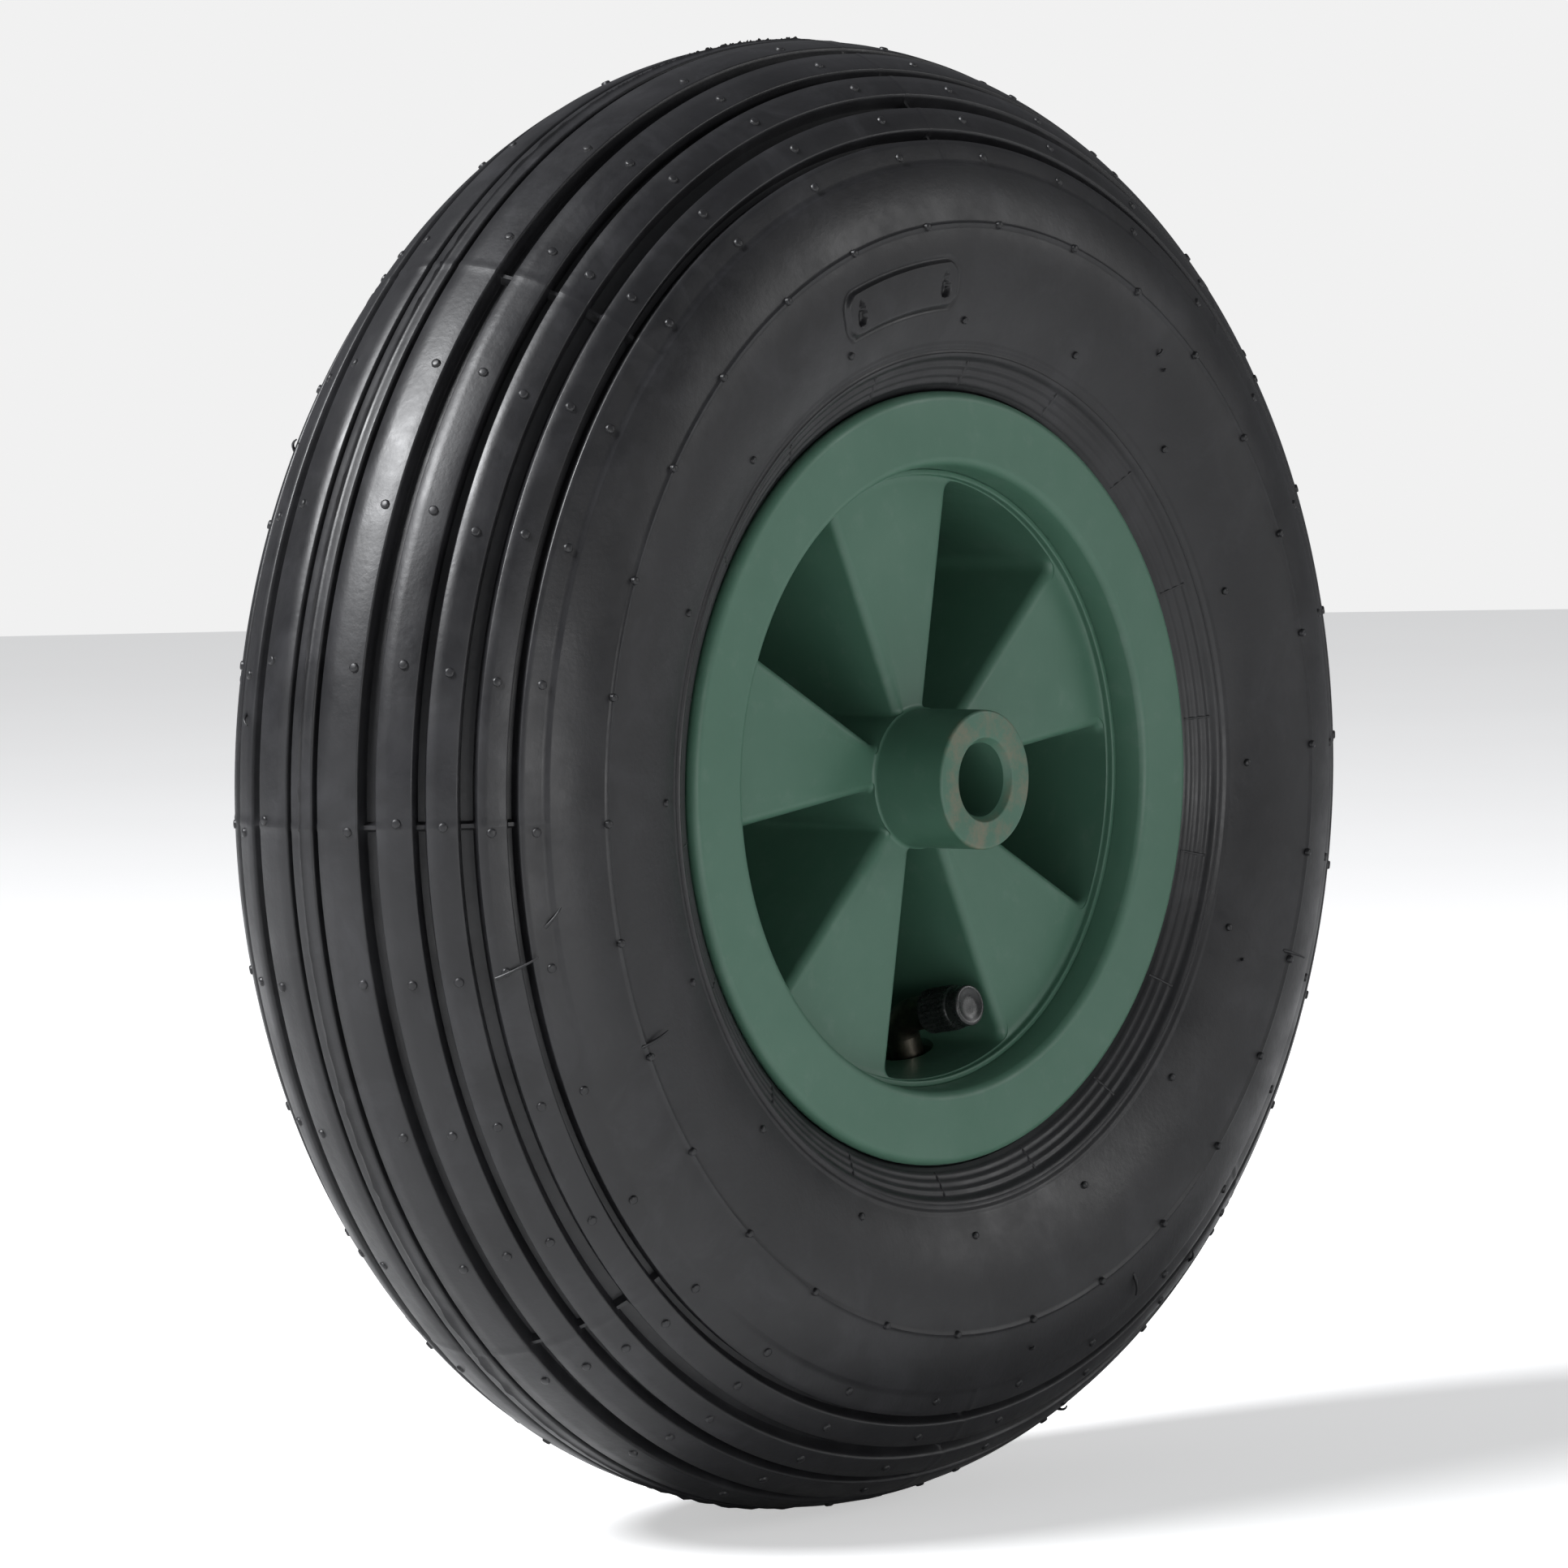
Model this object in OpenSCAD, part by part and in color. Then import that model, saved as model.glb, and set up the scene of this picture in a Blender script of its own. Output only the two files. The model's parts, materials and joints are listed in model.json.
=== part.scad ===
// Pneumatic barrow wheel: ribbed tyre, inner tube, bent valve and one-piece plastic rim.
// The wheel turns about Y. Its front face, where the valve opens, looks along -Y. +Z is up.
// The origin is on the axle line, midway between the two hub ends.

/* [Tyre] */
// Outside diameter over the centre rib
tyre_d = 330; // [300:1:350]
// Width over the fullest part of both sidewalls
tyre_w = 96.4; // [90:0.2:104]
// Diameter of the circle where the sidewalls are fullest
tyre_widest_d = 238; // [225:1:250]
// Radius of the round tread, seen in section
tread_r = 46.5; // [44:0.5:54]
// Half angle of the tread arc, from the centre rib to the shoulder line
tread_half_angle = 67.6; // [62:0.2:70]
// Rubber thickness under the centre rib
tread_t = 9; // [7:0.5:12]
// Rubber thickness of the sidewalls
sidewall_t = 4.6; // [3.5:0.1:6]
// Depth of the tread grooves
groove_depth = 3.6; // [2:0.1:5]
// Diameter of the thin raised line on each sidewall
sidewall_line_d = 245.6; // [236:0.2:256]
// Distance of the raised ring on the sidewall out from the rim flange
bead_ring_gap = 7.9; // [6:0.1:10]
// Width of each bead across its seat
bead_w = 11.6; // [9:0.1:13]
// Diameter of the wire hoop moulded into each bead
bead_wire_d = 4; // [2.5:0.1:5]

/* [Rim] */
// Diameter of the bead seats
bead_seat_d = 152; // [150:0.2:160]
// Height of the flanges over the bead seats
flange_h = 10; // [8:0.2:13]
// Width over the two flange faces
rim_w = 80; // [76:0.5:88]
// Thickness of each flange
flange_t = 5; // [4:0.1:6]
// Depth of the well between the bead seats
well_depth = 5; // [4:0.1:7]
// Thickness of the barrel under the well
rim_wall = 3.5; // [2.5:0.1:5]
// Height of the lip at the flange face over the barrel
lip_h = 4.3; // [3:0.1:6]
// Radial width of the small step between the lip and the barrel
step_w = 1.2; // [0.6:0.1:2]
// Distance from the flange face down to the blade faces
dish_depth = 9.3; // [6:0.1:14]
// Number of blades seen from each side
blades = 5; // [4:1:7]
// Thickness of the blades and of the walls between them
blade_t = 3.8; // [3:0.1:5]
// Width of the bevel along the long edges of the blades
blade_bevel = 2.4; // [1:0.1:3]
// Turn of the blade pattern: the direction of the first front blade
blade_phase = 97.4; // [0:0.1:360]

/* [Hub] */
// Length of the hub, end to end
hub_l = 100; // [90:1:120]
// Outside diameter of the hub
hub_d = 31; // [27:0.5:36]
// Diameter of the axle bore
bore_d = 16.5; // [12:0.1:20]
// Radial width of the chamfer at each mouth of the bore
bore_chamfer_w = 0.95; // [0.5:0.05:1.5]
// Depth of the chamfer at each mouth of the bore
bore_chamfer_l = 1.7; // [1:0.1:3]

/* [Valve] */
// Direction of the valve, seen from the front
valve_angle = 288.2; // [270:0.1:289]
// Distance of the valve hole forward of the middle of the rim
valve_forward = 8.4; // [4:0.1:12]
// Diameter of the valve hole in the rim
valve_hole_d = 11.6; // [10:0.1:12.5]
// Outside diameter of the stem
stem_d = 7.7; // [7:0.1:8]
// Radius of the bend of the stem, to its centre line
stem_bend_r = 6; // [5.5:0.1:7]
// Lean of the straight end of the stem towards the hub
stem_lean = 9.6; // [0:0.2:15]
// Height of the bend's corner over the barrel
stem_rise = 8.9; // [7:0.1:11]
// Length from the bend's corner to the tip of the stem
stem_tip_l = 20.2; // [19.5:0.1:24]
// Diameter of the air bore through the stem
stem_bore_d = 3; // [2:0.1:3.4]

/* [Valve core] */
// Outside diameter of the threaded plug that holds the core
core_plug_d = 5.3; // [5:0.05:5.5]
// Outside diameter of the core's barrel
core_barrel_d = 3.5; // [3.2:0.05:3.6]
// Diameter of the core's pin
core_pin_d = 1.2; // [1:0.05:1.3]
// Travel of the pin when it is pressed
core_travel = 1; // [0.6:0.1:1.2]

/* [Valve cap] */
// Wall of the cap between its bore and the tops of its gripping ribs
cap_wall = 1.22; // [1:0.02:1.6]
// Radial step down from the ribs to the smooth ring at the closed end
cap_tip_step = 0.5; // [0.3:0.05:0.7]
// Length of the cap
cap_l = 12; // [11:0.1:13]
// Number of gripping ribs
cap_ribs = 24; // [16:1:30]

/* [Inner tube] */
// Wall thickness of the inner tube
tube_t = 1.5; // [1:0.1:2.5]
// Gap between the tube and what is around it
tube_gap = 0.2; // [0.1:0.05:0.5]
// Diameter of the rubber patch around the valve
patch_d = 32; // [24:1:36]
// Thickness of the rubber patch
patch_t = 1.4; // [1:0.1:2]

/* [Hidden] */

$fn = 96;
fit_gap = 0.1;           // between rubber and rim, so that they only just touch
run_gap = 0.06;          // radial clearance of a part that turns or slides in another

// Tyre section, worked out from the sizes above
tyre_r = tyre_d / 2;
tread_c = tyre_r - tread_r;                             // centre of the tread arc
widest_r = tyre_widest_d / 2;
half_w = tyre_w / 2;
shoulder_r = tread_c + tread_r * cos(tread_half_angle);
shoulder_z = tread_r * sin(tread_half_angle);
side_step = 0.5;                                        // sidewall stands proud of the shoulder
seat_r = bead_seat_d / 2;
flange_r = seat_r + flange_h;
face_z = rim_w / 2;
flange_edge_r = 2.2;                                    // rounding of the flange's rim
flange_back_z = face_z - flange_t;
flange_gap = 0.5;
well_r = seat_r - well_depth;
barrel_r = well_r - rim_wall;
lip_r = barrel_r + lip_h;
blade_z = face_z - dish_depth;
blade_angle = 180 / blades;                             // one blade or one pocket
hub_r = hub_d / 2;
hub_z = hub_l / 2;
pocket_step = 0.3;                                      // pockets are this much narrower than barrel and hub
bevel_end = 1.6;                                        // bevels stop this far from hub and barrel
bore_r = bore_d / 2;

// Upper half ellipse of the sidewall, from its fullest circle to the shoulder
side_up = (shoulder_r - widest_r) / sqrt(1 - pow((shoulder_z + side_step) / half_w, 2));
// Lower half ellipse, from the fullest circle down to the flange
bead_top_r = flange_r + flange_gap;
bead_top_z = face_z - flange_edge_r - 0.2;
side_down = (widest_r - bead_top_r) / sqrt(1 - pow(bead_top_z / half_w, 2));
// The same for the inside of the casing
in_half_w = half_w - sidewall_t;
in_up = tyre_r - tread_t - widest_r;
in_foot_r = seat_r + 15;
in_down = side_down - 4;
bead_toe_z = flange_back_z - fit_gap - bead_w;
well_flat_z = bead_toe_z - 6;                           // the patch lies on the flat of the well

// Tread grooves on one side of the middle: [middle of the groove, its width], in degrees of arc
grooves = [[4.6, 1.8], [20.4, 5], [34.5, 3.4], [47, 4.8], [58.8, 3]];
groove_draft = 0.35;                                    // each groove wall narrows by this, in degrees

// Stations of the valve, along the radius of the wheel (x) and forward (z)
stem_r = stem_d / 2;
cap_gap = 0.08;                                         // radial clearance of the cap on the stem
cap_bore_d = stem_d + 2 * cap_gap;
cap_d = cap_bore_d + 2 * cap_wall;
cap_tip_d = cap_d - 2 * cap_tip_step;
corner_r = barrel_r - stem_rise;
stem_turn = 90 - stem_lean;
bend_start = stem_bend_r * tan(stem_turn / 2);
tube_foot_r = well_r + fit_gap + patch_t;                // the tube lies on the valve's patch
stem_base_r = tube_foot_r + tube_t;
stem_flange_t = 1;
stem_flange_d = 12;
stem_bore_r = stem_bore_d / 2;

// Stations of the core, measured back from the tip of the stem
plug_top = 0.6;
plug_l = 4.2;
barrel_l = 6.4;
seal_l = 2;
pin_top = 0.4;
pin_head_d = 1.7;
pin_head_l = 0.9;
pin_collar_d = 2.4;
pin_collar_top = 5.3;
pin_collar_t = 0.5;
barrel_wall = 0.38;
barrel_foot_t = 0.6;
gasket_t = 1;
cup_t = 0.9;
pin_tail = 0.6;
core_seat_l = 7.6;                                      // depth of the wide part of the stem's bore
core_r = core_barrel_d / 2;
core_in_r = core_r - barrel_wall;
plug_r = core_plug_d / 2;
pin_r = core_pin_d / 2;
seal_r = core_r + 0.5;
barrel_top = plug_top + plug_l;
barrel_end = barrel_top + barrel_l;
cup_room = 0.1;                                         // left behind the cup when the pin is pressed
// Depth of the bore's middle part
core_room_l = barrel_end + gasket_t + cup_t + core_travel + cup_room;
spring_wire = 0.22;
spring_r = (pin_r + core_in_r) / 2;
spring_turns = 7;
spring_sides = 6;
spring_steps = 12;

// Cap stations, measured along the cap from the stem's tip
washer_t = 1;
cap_top_t = 1.2;
cap_dome = 0.5;
cap_tip_l = 3;
cap_skirt_lip = 0.9;
cap_rib_depth = 0.35;

// Points on an arc about [x, y], from angle a to angle b
function arc(x, y, r, a, b, n) = [
    for (i = [0:n]) let (t = a + (b - a) * i / n) [x + r * cos(t), y + r * sin(t)]];
// Points on a quarter ellipse about [x, 0], from angle a to angle b
function ellipse(x, rx, ry, a, b, n) = [
    for (i = [0:n]) let (t = a + (b - a) * i / n) [x + rx * cos(t), ry * sin(t)]];
// The same outline, walked back on the other side of the middle plane
function mirrored(p) = [for (i = [len(p) - 2:-1:1]) [p[i][0], -p[i][1]]];
function tread_point(a, depth) = [tread_c + (tread_r - depth) * cos(a), (tread_r - depth) * sin(a)];

// Lays a shape made about Z with its front up so that it turns about Y with its front along -Y
module wheel_frame() {
    rotate([90, 0, 0]) children();
}

// Moves into the valve's own plane: X outwards along the radius, Z forward
module valve_frame() {
    wheel_frame() rotate([0, 0, valve_angle]) children();
}

// Moves to the tip of the stem, with Z pointing out of the valve
module tip_frame() {
    valve_frame()
        translate([corner_r, 0, valve_forward])
            rotate([0, -stem_lean, 0])
                translate([0, 0, stem_tip_l]) children();
}

// A ring or disc at the tip: from depth a to depth b behind the tip, outside radius r, hole radius h
module core_ring(a, b, r, h) {
    translate([0, 0, -b]) difference() {
        cylinder(h = b - a, r = r);
        if (h > 0) translate([0, 0, -1]) cylinder(h = b - a + 2, r = h);
    }
}

// ---- Rim ----

// Outside of the rim in section, from the middle to the front flange face
function rim_outside() = concat(
    [[well_r, 0], [well_r, bead_toe_z - 5.5]],
    arc(seat_r - 1.2, bead_toe_z - 1.6, 1.6, -60, 20, 5),
    [[seat_r - 0.3, bead_toe_z]],
    arc(seat_r + 2, flange_back_z - 2, 2, 180, 90, 5),
    arc(flange_r - flange_edge_r, face_z - flange_edge_r, flange_edge_r, -50, 90, 10));

// Inside of the rim in section: lip, step, blade face, hub and bore, from the front back to the middle
function rim_inside() = concat(
    arc(lip_r, face_z - 2.4, 2.4, 90, 155, 5),
    [[barrel_r + step_w, blade_z + 1.9],
    [barrel_r + step_w * 0.8, blade_z + 1.3],
    [barrel_r, blade_z + 0.9],
    [barrel_r, blade_z],
    [hub_r, blade_z],
    [hub_r, hub_z - 0.4],
    [hub_r - 0.4, hub_z],
    [bore_r + bore_chamfer_w, hub_z],
    [bore_r, hub_z - bore_chamfer_l],
    [bore_r, 0]]);

// Space between two blades along +X, its sides dy inside the lines that bound its sector
module pocket(dy) {
    a = blade_angle / 2;
    tip = dy / sin(a);
    far = barrel_r + 5;
    depth = 2 * blade_z - blade_t;
    translate([0, 0, -depth]) intersection() {
        linear_extrude(height = depth + 2)
            polygon([[tip, 0], [far, -(far - tip) * tan(a)], [far, (far - tip) * tan(a)]]);
        difference() {
            cylinder(h = depth + 2, r = barrel_r - pocket_step, $fn = 180);
            translate([0, 0, -1]) cylinder(h = depth + 4, r = hub_r + pocket_step, $fn = 180);
        }
    }
}

// Bevels on the two blade edges beside a pocket, ending just short of the hub and the barrel
module bevels(dy) {
    for (s = [0, 1]) mirror([0, s, 0])
        rotate([0, 0, -blade_angle / 2]) translate([hub_r + bevel_end, dy, 0]) rotate([45, 0, 0])
            translate([0, -blade_bevel / 2, -blade_bevel / 2])
                cube([barrel_r - hub_r - 2 * bevel_end, blade_bevel, blade_bevel]);
}

// The rim has blades at the front with pockets between them, and the same behind, half a step round
module rim() {
    half = concat(rim_outside(), rim_inside());
    color([0.38, 0.52, 0.45]) wheel_frame() difference() {
        rotate_extrude($fn = 180) polygon(concat(half, mirrored(half)));
        for (k = [0:blades - 1]) {
            rotate([0, 0, blade_phase + (2 * k + 1) * blade_angle]) translate([0, 0, blade_z]) {
                pocket(0);
                bevels(0);
            }
            rotate([0, 0, blade_phase + 2 * k * blade_angle]) rotate([180, 0, 0]) translate([0, 0, blade_z]) {
                pocket(blade_t);
                bevels(blade_t);
            }
        }
        rotate([0, 0, valve_angle]) translate([barrel_r - 3, 0, valve_forward])
            rotate([0, 90, 0]) cylinder(h = 15, r = valve_hole_d / 2);
    }
}

// ---- Tyre ----

// One groove cut into the tread arc, walked from the middle of the tread outwards
function groove_points(g) = [
    tread_point(g[0] - g[1] / 2, 0),
    tread_point(g[0] - g[1] / 2 + groove_draft, groove_depth),
    tread_point(g[0] + g[1] / 2 - groove_draft, groove_depth),
    tread_point(g[0] + g[1] / 2, 0)];

// Points on the tread between two angles, with no groove
function land_points(a, b) = [for (i = [1:3]) tread_point(a + (b - a) * i / 4, 0)];

function tread_outline() = [
    for (i = [0:len(grooves) - 1])
        let (from = i == 0 ? 0 : grooves[i - 1][0] + grooves[i - 1][1] / 2)
            each concat(land_points(from, grooves[i][0] - grooves[i][1] / 2), groove_points(grooves[i]))];

function last_land() = land_points(grooves[len(grooves) - 1][0] + grooves[len(grooves) - 1][1] / 2,
    tread_half_angle);

function side_z(r) = half_w * sqrt(1 - pow((r - widest_r) / (r > widest_r ? side_up : side_down), 2));

// A thin raised line on the sidewall at radius r
function side_line(r, high, w) = [
    [r + w, side_z(r + w)], [r + w / 2, side_z(r) + high],
    [r - w / 2, side_z(r) + high], [r - w, side_z(r - w)]];

function sidewall_outline() =
    let (line_r = sidewall_line_d / 2, ring_r = flange_r + bead_ring_gap)
    concat(
        [[shoulder_r, shoulder_z], [shoulder_r - 0.4, side_z(shoulder_r - 0.4)]],
        [for (i = [1:5]) let (r = shoulder_r + (line_r + 1 - shoulder_r) * i / 6) [r, side_z(r)]],
        side_line(line_r, 0.35, 0.5),
        [for (i = [1:9]) let (r = line_r - 1 + (ring_r + 2 - line_r) * i / 10) [r, side_z(r)]],
        side_line(ring_r, 0.5, 0.7),
        [[ring_r - 3, side_z(ring_r - 3)], [bead_top_r, bead_top_z]]);

// The bead: behind the flange, round the heel, along the seat to the toe
function bead_outline() = concat(
    [[bead_top_r, flange_back_z + 1.6], [flange_r - 1.2, flange_back_z + 0.4 - fit_gap]],
    arc(seat_r + 2 + fit_gap, flange_back_z - 2 - fit_gap, 2, 90, 180, 4),
    [[seat_r - 0.3 + fit_gap, bead_toe_z], [seat_r + 0.8, bead_toe_z - 0.6]]);

// Inside of the casing, from the bead up to the crown, drawn smaller by inset
function casing_inside(inset) =
    let (w = in_half_w - inset, up = in_up - inset, down = in_down - inset)
    let (foot = acos((in_foot_r - widest_r) / down))
    concat(
        ellipse(widest_r, down, w, foot, 90, 10),
        ellipse(widest_r, up, w, 82, 0, 10));

module tyre() {
    half = concat(
        [tread_point(0, 0)],
        tread_outline(),
        last_land(),
        sidewall_outline(),
        bead_outline(),
        casing_inside(0));
    color([0.09, 0.09, 0.1])
        wheel_frame()
            difference() {
                rotate_extrude($fn = 180) polygon(concat(half, mirrored(half)));
                for (s = [-1, 1]) bead_wire(s);
            }
}

wire_r = seat_r + 5.2;
wire_z = bead_toe_z + bead_w / 2 + 0.4;

module bead_wire(side) {
    rotate_extrude($fn = 180) translate([wire_r, side * wire_z]) circle(d = bead_wire_d, $fn = 32);
}

module bead_wire_front() {
    color([0.55, 0.5, 0.4]) wheel_frame() bead_wire(1);
}

module bead_wire_rear() {
    color([0.55, 0.5, 0.4]) wheel_frame() bead_wire(-1);
}

// ---- Inner tube ----

function tube_outline(inset) =
    let (g = tube_gap + inset)
    let (half = concat(
        [[tube_foot_r + inset, 0], [tube_foot_r + inset, bead_toe_z - 7 - inset],
        [seat_r + 1 + inset, bead_toe_z - 1.6 - g]],
        casing_inside(g)))
    concat(half, mirrored(half));

module inner_tube() {
    color([0.13, 0.13, 0.14])
        difference() {
            wheel_frame()
                rotate_extrude($fn = 180) difference() {
                    polygon(tube_outline(0));
                    polygon(tube_outline(tube_t));
                }
            valve_frame() translate([tube_foot_r - 1, 0, valve_forward])
                rotate([0, 90, 0]) cylinder(h = tube_t + 2, r = stem_r + run_gap);
        }
}

module valve_patch() {
    color([0.1, 0.1, 0.11])
        intersection() {
            wheel_frame() difference() {
                cylinder(h = 2 * well_flat_z, r = well_r + fit_gap + patch_t, center = true, $fn = 180);
                cylinder(h = rim_w + 2, r = well_r + fit_gap, center = true, $fn = 180);
            }
            valve_frame() translate([well_r - 5, 0, valve_forward]) rotate([0, 90, 0])
                difference() {
                    cylinder(h = 15, d = patch_d);
                    translate([0, 0, -1]) cylinder(h = 17, r = stem_r + run_gap);
                }
        }
}

// ---- Valve stem ----

// Straight, bend and straight again, as a rod of radius r. The bend is a hair thinner than the straights.
module stem_path(r, base_r, tip_l) {
    lap = 0.2;
    translate([corner_r + bend_start - lap, 0, valve_forward])
        rotate([0, 90, 0]) cylinder(h = base_r - corner_r - bend_start + lap, r = r);
    translate([corner_r + bend_start, 0, valve_forward + stem_bend_r])
        rotate([90, 0, 0]) rotate([0, 0, 270 - stem_turn])
            rotate_extrude(angle = stem_turn) translate([stem_bend_r, 0]) circle(r = r - 0.05);
    translate([corner_r, 0, valve_forward]) rotate([0, -stem_lean, 0])
        translate([0, 0, bend_start - lap]) cylinder(h = tip_l - bend_start + lap, r = r);
}

module valve_stem() {
    color([0.4, 0.38, 0.33])
        difference() {
            valve_frame() union() {
                stem_path(stem_r, stem_base_r + stem_flange_t, stem_tip_l);
                translate([stem_base_r, 0, valve_forward]) rotate([0, 90, 0])
                    cylinder(h = stem_flange_t, d = stem_flange_d);
            }
            valve_frame()
                stem_path(stem_bore_r, stem_base_r + stem_flange_t + 1, stem_tip_l - core_room_l + 1);
            tip_frame() {
                translate([0, 0, -core_seat_l]) cylinder(h = core_seat_l + 1, r = plug_r);
                translate([0, 0, -core_room_l]) cylinder(h = core_room_l, r = seal_r);
            }
        }
}

// ---- Valve core ----

module core_plug() {
    color("goldenrod") tip_frame() core_ring(plug_top, barrel_top, plug_r, pin_head_d / 2 + 0.1);
}

module core_barrel() {
    color("goldenrod") tip_frame() difference() {
        core_ring(barrel_top, barrel_end, core_r, 0);
        translate([0, 0, -barrel_end + barrel_foot_t]) cylinder(h = barrel_l, r = core_in_r);
        translate([0, 0, -barrel_end - 1]) cylinder(h = barrel_l, r = pin_r + 0.15);
    }
}

module core_seal() {
    color("white") tip_frame() core_ring(core_seat_l, core_seat_l + seal_l, seal_r, core_r);
}

// Ring of points round the wire at turn angle a and height h
function coil_ring(a, h) = [for (j = [0:spring_sides - 1]) let (t = 360 * j / spring_sides)
    let (r = spring_r + spring_wire / 2 * cos(t))
    [r * cos(a), r * sin(a), h + spring_wire / 2 * sin(t)]];

module core_spring() {
    top = -(pin_collar_top + pin_collar_t) - spring_wire / 2 - 0.02;
    foot = -(barrel_end - barrel_foot_t) + spring_wire / 2 + 0.02;
    n = spring_turns * spring_steps;
    points = [for (i = [0:n]) each coil_ring(360 * i / spring_steps, foot + (top - foot) * i / n)];
    sides = [for (i = [0:n - 1]) for (j = [0:spring_sides - 1])
        let (k = (j + 1) % spring_sides, a = i * spring_sides, b = a + spring_sides)
        [a + j, b + j, b + k, a + k]];
    ends = [[for (j = [0:spring_sides - 1]) j], [for (j = [spring_sides - 1:-1:0]) n * spring_sides + j]];
    color("silver") tip_frame() polyhedron(points = points, faces = concat(sides, ends), convexity = 8);
}

module core_pin() {
    gasket_top = barrel_end;
    color("gold") tip_frame() {
        core_ring(pin_top, pin_top + pin_head_l, pin_head_d / 2, 0);
        core_ring(pin_top, gasket_top + gasket_t + cup_t + pin_tail, pin_r, 0);
        core_ring(pin_collar_top, pin_collar_top + pin_collar_t, pin_collar_d / 2, 0);
    }
}

module core_gasket() {
    color([0.12, 0.12, 0.12]) tip_frame()
        core_ring(barrel_end, barrel_end + gasket_t, core_r - 0.1, pin_r);
}

module core_cup() {
    color("gold") tip_frame() {
        core_ring(barrel_end + gasket_t, barrel_end + gasket_t + cup_t, core_r, pin_r);
    }
}

// ---- Valve cap ----

module cap_outside() {
    base = -(cap_l - washer_t - cap_top_t);
    shoulder = washer_t + cap_top_t - cap_dome - cap_tip_l;
    difference() {
        translate([0, 0, base]) cylinder(h = shoulder - base, d = cap_d);
        for (i = [0:cap_ribs - 1]) rotate([0, 0, 360 * i / cap_ribs])
            translate([cap_d / 2 + 0.1, 0, base + cap_skirt_lip])
                cylinder(h = shoulder - base - cap_skirt_lip - 0.7, r = cap_rib_depth, $fn = 24);
    }
    translate([0, 0, shoulder]) cylinder(h = cap_tip_l, d = cap_tip_d);
    translate([0, 0, shoulder + cap_tip_l]) cylinder(h = cap_dome, d1 = cap_tip_d, d2 = cap_tip_d - 2);
}

module valve_cap() {
    color([0.08, 0.08, 0.08]) tip_frame() difference() {
        cap_outside();
        translate([0, 0, -cap_l]) cylinder(h = cap_l + washer_t, d = cap_bore_d);
    }
}

module cap_washer() {
    color([0.3, 0.3, 0.3]) tip_frame() cylinder(h = washer_t - run_gap, d = cap_bore_d - 2 * run_gap);
}

rim();
tyre();
bead_wire_front();
bead_wire_rear();
inner_tube();
valve_patch();
valve_stem();
core_plug();
core_barrel();
core_seal();
core_spring();
core_pin();
core_gasket();
core_cup();
valve_cap();
cap_washer();
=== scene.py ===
import json
import math
import random

import bpy
import numpy as np
from mathutils import Matrix, Vector


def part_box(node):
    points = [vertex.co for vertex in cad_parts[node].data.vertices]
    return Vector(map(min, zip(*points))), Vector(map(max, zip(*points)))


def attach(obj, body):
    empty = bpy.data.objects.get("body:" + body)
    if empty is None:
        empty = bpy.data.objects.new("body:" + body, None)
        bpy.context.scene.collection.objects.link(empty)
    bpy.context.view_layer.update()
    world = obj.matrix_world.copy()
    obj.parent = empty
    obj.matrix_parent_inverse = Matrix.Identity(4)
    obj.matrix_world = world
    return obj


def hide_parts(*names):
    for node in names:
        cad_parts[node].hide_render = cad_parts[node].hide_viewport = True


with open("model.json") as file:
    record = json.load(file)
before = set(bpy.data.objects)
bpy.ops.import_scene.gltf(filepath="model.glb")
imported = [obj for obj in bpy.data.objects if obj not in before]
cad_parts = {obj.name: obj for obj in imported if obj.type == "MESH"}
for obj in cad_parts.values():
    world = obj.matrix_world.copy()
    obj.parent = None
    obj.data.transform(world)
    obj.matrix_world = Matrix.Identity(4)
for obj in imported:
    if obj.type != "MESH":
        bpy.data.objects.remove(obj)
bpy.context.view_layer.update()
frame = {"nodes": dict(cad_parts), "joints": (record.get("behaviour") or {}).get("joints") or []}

MM = 0.001

# ---- Sizes, in millimetres and degrees ----

tyre_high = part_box("tyre")[1] / MM
rim_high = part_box("rim")[1] / MM
TYRE_R = tyre_high.z
TYRE_HALF_W = tyre_high.y
FLANGE_R = rim_high.z
HUB_Z = rim_high.y

# Tyre section
TREAD_R = 46.5
TREAD_C = TYRE_R - TREAD_R
TREAD_HALF_ANGLE = 67.6
TREAD_T = 9.0
SIDEWALL_T = 4.6
GROOVE_DEPTH = 3.6
GROOVES = ((4.6, 1.8), (20.4, 5.0), (34.5, 3.4), (47.0, 4.8), (58.8, 3.0))  # (middle, width), degrees
RIB_EDGE = 0.5
WIDEST_R = 119.0
SHOULDER_R = TREAD_C + TREAD_R * math.cos(math.radians(TREAD_HALF_ANGLE))
SHOULDER_Z = TREAD_R * math.sin(math.radians(TREAD_HALF_ANGLE))
SIDE_STEP = 0.5
SIDE_SAMPLE = 0.42
RIDGE_MAX = 0.6
BEAD_CORNER_R = 2.0

# Rings raised on the sidewall: (radius, height, half width)
SIDE_RIDGES = ((137.2, 0.35, 0.5), (122.8, 0.4, 0.4), (93.9, 0.75, 0.8), (96.2, 0.2, 0.5),
               (91.6, 0.3, 0.35), (89.8, 0.3, 0.35), (88.1, 0.3, 0.35))

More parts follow.
